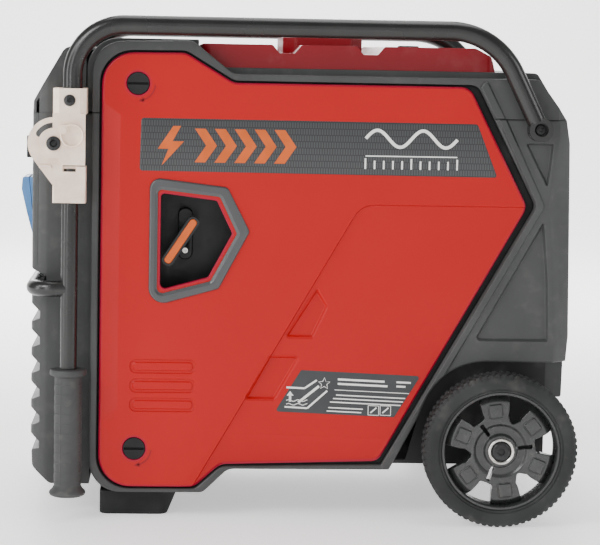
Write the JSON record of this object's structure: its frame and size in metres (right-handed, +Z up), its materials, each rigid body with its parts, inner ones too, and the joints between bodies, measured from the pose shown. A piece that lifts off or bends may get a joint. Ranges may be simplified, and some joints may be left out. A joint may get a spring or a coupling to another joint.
{
  "type": "inverter generator",
  "caption": "Closed inverter generator with removable side doors, a fold-down tow handle, carry tubes, two wheels, a recoil starter and a socket panel.",
  "frame": {"origin": "on the ground, under the middle of the overall box", "axes": "+X from the control end to the wheel end, -Y the recoil starter side, +Z up"},
  "size_m": [0.7412, 0.534, 0.6617],
  "materials": {
    "red_plastic": "satin moulded plastic",
    "black_plastic": "fine textured moulded plastic",
    "grey_plastic": "fine textured moulded plastic",
    "black_tube": "semi-gloss powder coat",
    "zinc_steel": "zinc plated pressed steel",
    "dark_steel": "blackened steel",
    "bright_steel": "machined steel",
    "tyre": "solid tyre rubber",
    "rubber": "moulded rubber",
    "cast_alloy": "sand-cast aluminium",
    "muffler_steel": "heat-tinted steel",
    "blue_plastic": "moulded plastic",
    "green_plastic": "moulded plastic",
    "rope": "braided cord"
  },
  "bodies": {
    "body": {"tank_cover": "red_plastic", "side_shell_near": "black_plastic", "side_shell_far": "black_plastic", "upper_shell": "black_plastic", "control_shell": "black_plastic", "control_cap": "black_plastic", "rear_panel": "black_plastic", "recoil_cup": "black_plastic", "air_cleaner": "black_plastic", "battery": "black_plastic", "recoil_housing": "black_plastic", "fuel_tank": "black_plastic", "control_panel": "grey_plastic", "schuko_sockets": "grey_plastic", "carry_tube_near": "black_tube", "carry_tube_far": "black_tube", "base_pan": "black_tube", "hinge_fixed_near": "zinc_steel", "hinge_fixed_far": "zinc_steel", "button_screws": "dark_steel", "pivot_bolts": "dark_steel", "axle": "bright_steel", "feet": "rubber", "rubber_mounts": "rubber", "crankcase": "cast_alloy", "cylinder": "cast_alloy", "inverter_module": "cast_alloy", "muffler": "muffler_steel", "exhaust_outlet": "muffler_steel", "cee_socket": "blue_plastic", "starter_rope": "rope"},
    "wheel_near": {"tyre_near": "tyre", "rim_near": "black_plastic"},
    "wheel_far": {"tyre_far": "tyre", "rim_far": "black_plastic"},
    "tow_handle": {"hinge_arm_near": "zinc_steel", "hinge_arm_far": "zinc_steel", "tow_frame": "black_tube", "grip_near": "rubber", "grip_far": "rubber"},
    "lock_pin_near": {"lock_pin_near": "zinc_steel"},
    "lock_pin_far": {"lock_pin_far": "zinc_steel"},
    "door_near": {"door_near": "red_plastic", "recoil_bezel": "grey_plastic"},
    "door_far": {"door_far": "red_plastic"},
    "latch_near_top": {"latch_near_top": "black_plastic"},
    "latch_near_bottom": {"latch_near_bottom": "black_plastic"},
    "latch_far": {"latch_far": "black_plastic"},
    "starter_handle": {"starter_handle": "black_plastic"},
    "recoil_pulley": {"recoil_pulley": "cast_alloy"},
    "rotor": {"rotor": "bright_steel"},
    "fuel_cap": {"fuel_cap": "black_plastic"},
    "oil_dipstick": {"oil_dipstick": "black_plastic"},
    "cee_flap": {"cee_flap": "blue_plastic"},
    "schuko_flap_left": {"schuko_flap_left": "black_plastic"},
    "schuko_flap_right": {"schuko_flap_right": "black_plastic"},
    "engine_switch": {"engine_switch": "black_plastic"},
    "eco_rocker": {"eco_rocker": "black_plastic"},
    "start_button": {"start_button": "green_plastic"},
    "breaker_button": {"breaker_button": "black_plastic"}
  },
  "joints": [
    {"name": "wheel_near_roll", "type": "hinge", "parent": "body", "child": "wheel_near", "pos_m": [0.269, -0.242, 0.1015], "axis": [0, 1, 0], "continuous": true},
    {"name": "wheel_far_roll", "type": "hinge", "parent": "body", "child": "wheel_far", "pos_m": [0.269, 0.242, 0.1015], "axis": [0, 1, 0], "continuous": true},
    {"name": "tow_handle_swing", "type": "hinge", "parent": "body", "child": "tow_handle", "pos_m": [-0.3197, 0, 0.495], "axis": [0, 1, 0], "range_deg": [0, 90]},
    {"name": "lock_pin_near_pull", "type": "slide", "parent": "body", "child": "lock_pin_near", "axis": [0, -1, 0], "range_m": [0, 0.008], "stiffness_N_per_m": 500, "springref_m": -0.004},
    {"name": "lock_pin_far_pull", "type": "slide", "parent": "body", "child": "lock_pin_far", "axis": [0, 1, 0], "range_m": [0, 0.008], "stiffness_N_per_m": 500, "springref_m": -0.004},
    {"name": "door_near_off", "type": "slide", "parent": "body", "child": "door_near", "axis": [0, -1, 0], "range_m": [0, 0.15]},
    {"name": "door_far_off", "type": "slide", "parent": "body", "child": "door_far", "axis": [0, 1, 0], "range_m": [0, 0.15]},
    {"name": "latch_near_top_turn", "type": "hinge", "parent": "door_near", "child": "latch_near_top", "pos_m": [-0.2125, -0.209, 0.5735], "axis": [0, -1, 0], "range_deg": [0, 90]},
    {"name": "latch_near_bottom_turn", "type": "hinge", "parent": "door_near", "child": "latch_near_bottom", "pos_m": [-0.2125, -0.209, 0.0924], "axis": [0, -1, 0], "range_deg": [0, 90]},
    {"name": "latch_far_turn", "type": "hinge", "parent": "door_far", "child": "latch_far", "pos_m": [-0.2125, 0.209, 0.5735], "axis": [0, 1, 0], "range_deg": [0, 90]},
    {"name": "recoil_turn", "type": "hinge", "parent": "body", "child": "recoil_pulley", "pos_m": [-0.1546, 0, 0.3], "axis": [1, 0, 0], "range_deg": [0, 508], "stiffness_Nm_per_rad": 0.12, "springref_deg": -114.59},
    {"name": "starter_pull", "type": "slide", "parent": "body", "child": "starter_handle", "axis": [0, -1, 0], "range_m": [0, 0.605], "deforming": ["starter_rope"]},
    {"name": "rotor_spin", "type": "hinge", "parent": "body", "child": "rotor", "pos_m": [-0.13, 0, 0.3], "axis": [1, 0, 0], "continuous": true},
    {"name": "fuel_cap_turn", "type": "hinge", "parent": "body", "child": "fuel_cap", "pos_m": [0.034, 0, 0.645], "axis": [0, 0, 1], "range_deg": [0, 120]},
    {"name": "oil_dipstick_turn", "type": "hinge", "parent": "body", "child": "oil_dipstick", "pos_m": [0.062, -0.135, 0.215], "axis": [0, -1, 0], "range_deg": [0, 180]},
    {"name": "cee_flap_lift", "type": "hinge", "parent": "body", "child": "cee_flap", "pos_m": [-0.36101, -0.062, 0.44394], "axis": [0, 1, 0], "range_deg": [0, 100], "stiffness_Nm_per_rad": 0.03, "springref_deg": -28.65},
    {"name": "schuko_flap_left_lift", "type": "hinge", "parent": "body", "child": "schuko_flap_left", "pos_m": [-0.3503, 0.025, 0.413], "axis": [0, 1, 0], "range_deg": [0, 95], "stiffness_Nm_per_rad": 0.01, "springref_deg": -28.65},
    {"name": "schuko_flap_right_lift", "type": "hinge", "parent": "body", "child": "schuko_flap_right", "pos_m": [-0.3503, 0.095, 0.413], "axis": [0, 1, 0], "range_deg": [0, 95], "stiffness_Nm_per_rad": 0.01, "springref_deg": -28.65},
    {"name": "engine_switch_turn", "type": "hinge", "parent": "body", "child": "engine_switch", "pos_m": [-0.355, -0.095, 0.484], "axis": [-1, 0, 0], "range_deg": [0, 90]},
    {"name": "eco_rocker_tilt", "type": "hinge", "parent": "body", "child": "eco_rocker", "pos_m": [-0.346, 0.07, 0.484], "axis": [0, 1, 0], "range_deg": [0, 12]},
    {"name": "start_button_press", "type": "slide", "parent": "body", "child": "start_button", "axis": [1, 0, 0], "range_m": [0, 0.003], "stiffness_N_per_m": 500, "springref_m": -0.001},
    {"name": "breaker_button_press", "type": "slide", "parent": "body", "child": "breaker_button", "axis": [1, 0, 0], "range_m": [0, 0.003], "stiffness_N_per_m": 500, "springref_m": -0.001}
  ],
  "couplings": [
    {"joint": "starter_pull", "follows": "recoil_turn", "m_per_rad": 0.0677}
  ]
}
